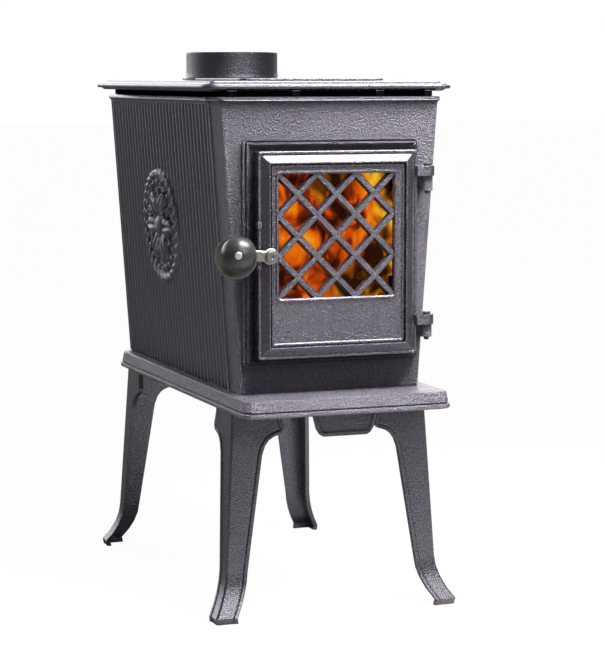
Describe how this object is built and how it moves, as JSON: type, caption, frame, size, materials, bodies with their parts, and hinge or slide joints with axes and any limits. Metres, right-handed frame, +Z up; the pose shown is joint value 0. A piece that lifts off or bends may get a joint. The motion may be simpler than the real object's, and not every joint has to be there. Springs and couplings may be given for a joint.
{
  "type": "wood stove",
  "caption": "Small cast-iron box stove with ribbed tapering sides, flared legs, latticed glass door, lift-out cooking lid and round flue collar.",
  "frame": {"origin": "centre of the bounding box's foot, on the floor under the middle of the stove", "axes": "+Z up, -Y towards the viewer out of the door, +X to the right of the door as it is looked at, on the hinge side"},
  "size_m": [0.32, 0.54, 0.677],
  "materials": {
    "iron": "anthracite stove paint over fine cast grain",
    "fire_iron": "bare casting, matt with soot",
    "steel": "bright zinc-plated fastener",
    "dark_steel": "blackened fastener and pin",
    "knob": "dark heat-proof phenolic, satin",
    "rope": "braided glass-fibre seal",
    "glass": "clear heat-resistant pane"
  },
  "bodies": {
    "stove_body": {"base_plate": "iron", "front_plate": "iron", "side_plate_right": "iron", "side_plate_left": "iron", "back_plate": "iron", "outlet_cover": "iron", "outlet_bolt_1": "dark_steel", "outlet_bolt_2": "dark_steel", "top_plate": "iron", "flue_collar": "iron", "collar_bolt_1": "dark_steel", "collar_bolt_2": "dark_steel", "hinge_pin_upper": "dark_steel", "hinge_pin_lower": "dark_steel", "leg_front_right": "iron", "leg_front_left": "iron", "leg_rear_right": "iron", "leg_rear_left": "iron", "leg_bolt_1": "dark_steel", "leg_bolt_2": "dark_steel", "leg_bolt_3": "dark_steel", "leg_bolt_4": "dark_steel", "front_apron": "iron", "floor_plate": "fire_iron", "burn_plate_right": "fire_iron", "burn_plate_left": "fire_iron", "burn_plate_rear": "fire_iron", "baffle_plate": "fire_iron", "log_stop": "fire_iron", "tie_rod_1": "dark_steel", "tie_rod_2": "dark_steel", "tie_rod_3": "dark_steel", "tie_rod_4": "dark_steel"},
    "fire_door": {"door": "iron", "door_rope": "rope", "glass_pane": "glass", "glass_clip_left_low": "dark_steel", "glass_clip_left_high": "dark_steel", "glass_clip_right_low": "dark_steel", "glass_clip_right_high": "dark_steel", "latch_screw": "steel"},
    "latch": {"latch_lever": "iron", "latch_knob": "knob", "latch_knob_insert": "steel"},
    "lid": {"cooking_lid": "iron"},
    "air_control": {"air_slide": "iron"}
  },
  "joints": [
    {"name": "door_hinge", "type": "hinge", "parent": "stove_body", "child": "fire_door", "pos_m": [0.117, -0.222, 0.436], "axis": [0, 0, 1], "range_deg": [0, 115]},
    {"name": "latch_lift", "type": "hinge", "parent": "fire_door", "child": "latch", "pos_m": [-0.087, -0.2312, 0.436], "axis": [0, 1, 0], "range_deg": [0, 40]},
    {"name": "lid_lift", "type": "slide", "parent": "stove_body", "child": "lid", "axis": [0, 0, 1], "range_m": [0, 0.06]},
    {"name": "air_slide", "type": "slide", "parent": "stove_body", "child": "air_control", "axis": [1, 0, 0], "range_m": [0, 0.015]}
  ]
}
